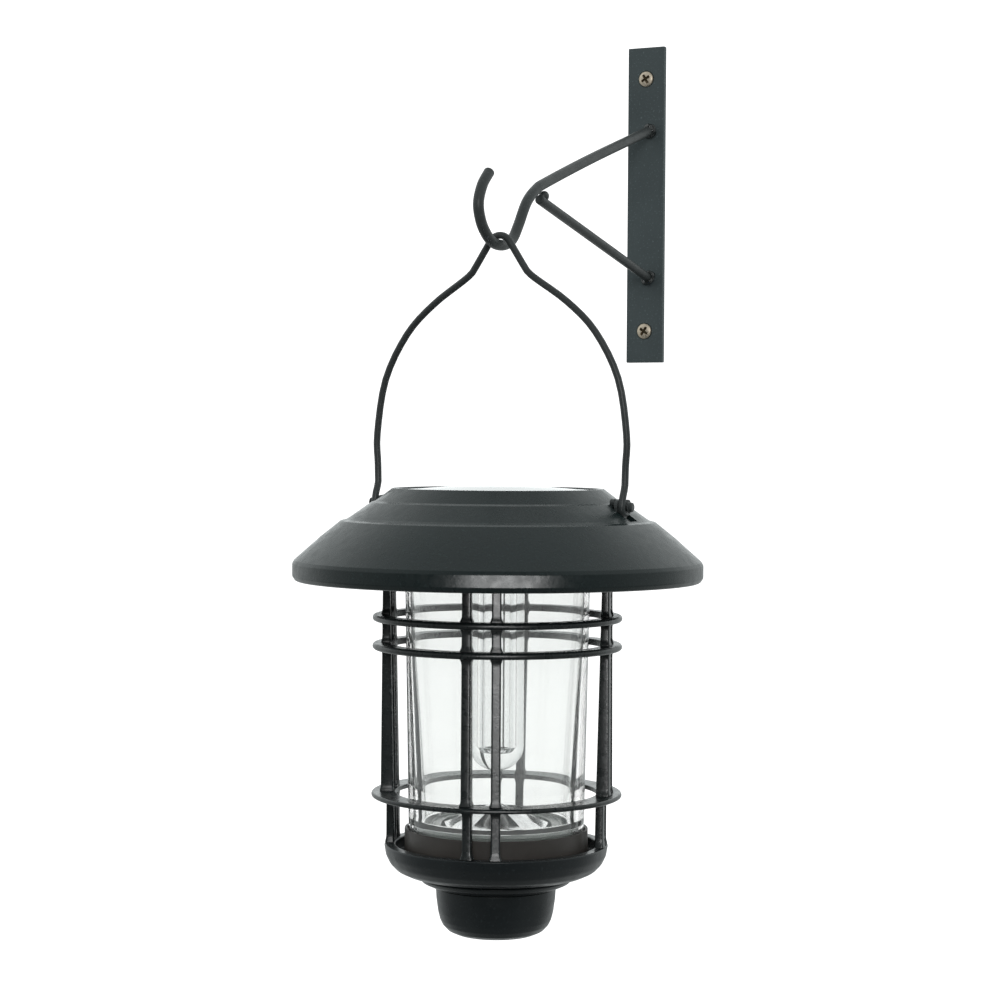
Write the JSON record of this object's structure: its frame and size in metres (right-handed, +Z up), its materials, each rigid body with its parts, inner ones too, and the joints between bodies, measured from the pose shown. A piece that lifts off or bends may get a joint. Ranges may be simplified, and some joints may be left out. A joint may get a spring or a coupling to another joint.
{
  "type": "solar wall lantern",
  "caption": "Hanging solar lantern with a round roof, glass chimney in a ringed cage and a plugged base, hung by a wire handle from a hooked wall bracket.",
  "frame": {"origin": "centre of the wall plate's back face, which rests on the wall", "axes": "+Z up along the wall plate, +Y into the wall, +X to the right as the wall is faced; the lantern hangs on a vertical axis in front of the wall, at negative Y"},
  "size_m": [0.185, 0.2799, 0.423],
  "materials": {
    "coated_metal": "satin powder coat, dark slate grey",
    "coated_wire": "satin powder coat on wire, near black",
    "screw_metal": "yellow-passivated, semi-gloss",
    "inner_steel": "plain plated steel",
    "clear_glass": "clear, faintly green at the edges",
    "clear_plastic": "clear moulded acrylic, polished",
    "panel_cover": "clear resin over the cells, glossy",
    "solar_cell": "dark blue cells with fine lines",
    "black_plastic": "fine moulded texture",
    "brown_plastic": "smooth, semi-matte",
    "seal_rubber": "matte",
    "chrome": "bright vacuum-plated facets",
    "board_green": "solder mask",
    "cell_wrap": "plain heat-shrink wrap",
    "red_lead": "wire insulation",
    "black_lead": "wire insulation",
    "led_resin": "clear warm resin"
  },
  "bodies": {
    "bracket": {"wall_plate": "coated_metal", "upper_wall_screw": "screw_metal", "lower_wall_screw": "screw_metal", "hook_arm": "coated_metal", "arm_brace": "coated_metal", "arm_weld": "coated_metal", "brace_weld": "coated_metal", "brace_end_weld": "coated_metal"},
    "handle": {"handle_wire": "coated_wire"},
    "head": {"roof_shell": "coated_metal", "left_lug": "coated_metal", "right_lug": "coated_metal", "left_pivot_screw": "coated_wire", "right_pivot_screw": "coated_wire", "solar_cover": "panel_cover", "panel_gasket": "seal_rubber", "solar_board": "solar_cell", "module_housing": "black_plastic", "housing_screw_1": "inner_steel", "housing_screw_2": "inner_steel", "housing_screw_3": "inner_steel", "battery_cell": "cell_wrap", "battery_contact": "inner_steel", "battery_spring": "inner_steel", "circuit_board": "board_green", "board_screw_1": "inner_steel", "board_screw_2": "inner_steel", "switch_body": "inner_steel", "lamp_tube": "clear_plastic", "lamp_socket": "black_plastic", "led_board": "board_green", "led_emitter": "led_resin", "panel_lead_red": "red_lead", "panel_lead_black": "black_lead", "lamp_lead_red": "red_lead", "lamp_lead_black": "black_lead"},
    "cage": {"cage_top_ring": "coated_metal", "cage_post_1": "coated_metal", "cage_post_2": "coated_metal", "cage_post_3": "coated_metal", "cage_post_4": "coated_metal", "cage_post_5": "coated_metal", "cage_post_6": "coated_metal", "cage_post_7": "coated_metal", "cage_post_8": "coated_metal", "upper_cage_ring": "coated_metal", "middle_cage_ring": "coated_metal", "lower_cage_ring": "coated_metal", "glass_cylinder": "clear_glass", "glass_top_seal": "seal_rubber", "glass_base_seal": "seal_rubber", "glass_collar": "brown_plastic", "reflector": "chrome", "reflector_deck": "black_plastic", "base_bowl": "coated_metal", "base_step": "coated_metal", "base_cup": "coated_metal", "base_screw": "inner_steel"},
    "battery_cover": {"battery_cover": "black_plastic"},
    "switch_slider": {"switch_slider": "black_plastic"}
  },
  "joints": [
    {"name": "handle_swing", "type": "hinge", "parent": "bracket", "child": "handle", "pos_m": [0.0032, -0.1664, -0.032], "axis": [0, 1, 0], "range_deg": [-45, 45]},
    {"name": "head_tilt", "type": "hinge", "parent": "handle", "child": "head", "pos_m": [0.0032, -0.1664, -0.1487], "axis": [1, 0, 0], "range_deg": [-50, 50]},
    {"name": "cage_twist", "type": "hinge", "parent": "head", "child": "cage", "pos_m": [0.0032, -0.1664, -0.18], "axis": [0, 0, 1], "range_deg": [0, 20]},
    {"name": "switch_slide", "type": "slide", "parent": "head", "child": "switch_slider", "axis": [0, -1, 0], "range_m": [0, 0.004]},
    {"name": "cover_slide", "type": "slide", "parent": "head", "child": "battery_cover", "axis": [0, 0, -1], "range_m": [0, 0.012]}
  ]
}
